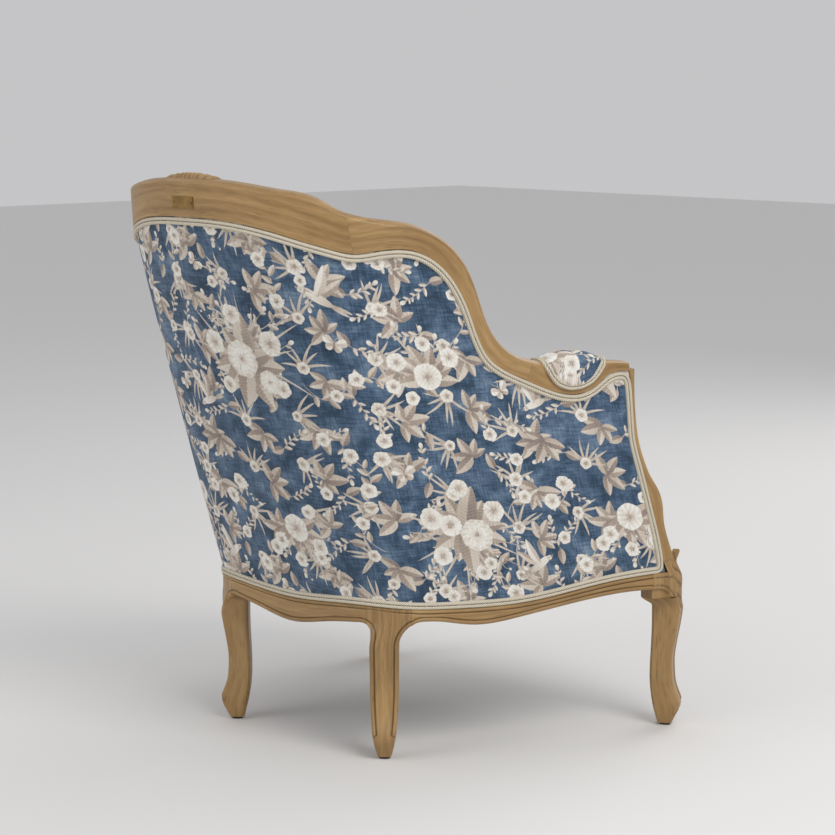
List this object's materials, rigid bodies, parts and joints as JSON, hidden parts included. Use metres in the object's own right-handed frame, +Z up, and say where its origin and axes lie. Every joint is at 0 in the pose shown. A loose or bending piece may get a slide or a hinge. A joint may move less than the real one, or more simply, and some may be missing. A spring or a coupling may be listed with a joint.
{
  "type": "bergere armchair",
  "caption": "Upholstered tub armchair with a moulded oak frame, cabriole legs, padded arms and a loose seat cushion.",
  "frame": {"origin": "on the floor, under the middle of the chair's outer box", "axes": "+Z up, the sitter faces -Y, +X is the sitter's left"},
  "size_m": [0.7928, 0.8262, 0.9799],
  "materials": {
    "oak_show_wood": "matt waxed oak",
    "beech_frame_wood": "bare sawn wood",
    "printed_linen": "indigo linen with a cream and taupe floral print",
    "cream_cord": "woven cord",
    "padding": "wadding and foam",
    "cushion_filling": "foam",
    "hessian": "coarse jute",
    "webbing": "woven strap",
    "black_cambric": "thin non-woven cloth",
    "steel": "plain",
    "brass": "antique",
    "glide_plastic": "dull"
  },
  "bodies": {
    "frame": {"arm_hessian_left": "hessian", "arm_hessian_right": "hessian", "arm_pad_left": "printed_linen", "arm_pad_right": "printed_linen", "arm_pad_welt_left": "cream_cord", "arm_pad_welt_right": "cream_cord", "arm_post_left": "oak_show_wood", "arm_post_right": "oak_show_wood", "arm_rail_left": "oak_show_wood", "arm_rail_right": "oak_show_wood", "back_hessian": "hessian", "back_liner_rail": "beech_frame_wood", "back_webbing": "webbing", "corner_blocks": "beech_frame_wood", "corner_screws": "steel", "crest_plate": "brass", "crest_rail": "oak_show_wood", "deck_cover": "printed_linen", "deck_pad": "padding", "dust_cover": "black_cambric", "foot_glides": "glide_plastic", "frame_dowels": "beech_frame_wood", "front_arm_liner_left": "beech_frame_wood", "front_arm_liner_right": "beech_frame_wood", "front_leg_left": "oak_show_wood", "front_leg_right": "oak_show_wood", "front_lip_cover": "printed_linen", "front_lip_pad": "padding", "front_seat_rail": "oak_show_wood", "front_welt": "cream_cord", "inside_arm_cover_left": "printed_linen", "inside_arm_cover_right": "printed_linen", "inside_arm_pad_left": "padding", "inside_arm_pad_right": "padding", "inside_back_cover": "printed_linen", "inside_back_pad": "padding", "inside_welt": "cream_cord", "outer_cover": "printed_linen", "outer_wadding": "padding", "outer_welt": "cream_cord", "plate_pins": "brass", "rear_arm_liner_left": "beech_frame_wood", "rear_arm_liner_right": "beech_frame_wood", "rear_leg_left": "oak_show_wood", "rear_leg_right": "oak_show_wood", "rear_seat_rail": "oak_show_wood", "rear_stile_left": "beech_frame_wood", "rear_stile_right": "beech_frame_wood", "seat_hessian": "hessian", "seat_springs": "steel", "shoulder_left": "oak_show_wood", "shoulder_right": "oak_show_wood", "side_seat_rail_left": "oak_show_wood", "side_seat_rail_right": "oak_show_wood", "side_upright_left": "beech_frame_wood", "side_upright_right": "beech_frame_wood", "spring_clips": "steel"},
    "cushion": {"cushion_core": "cushion_filling", "cushion_cover": "printed_linen", "cushion_piping": "cream_cord"}
  },
  "joints": [
    {"name": "cushion_lift", "type": "slide", "parent": "frame", "child": "cushion", "axis": [0, 0, 1], "range_m": [0, 0.25]}
  ]
}
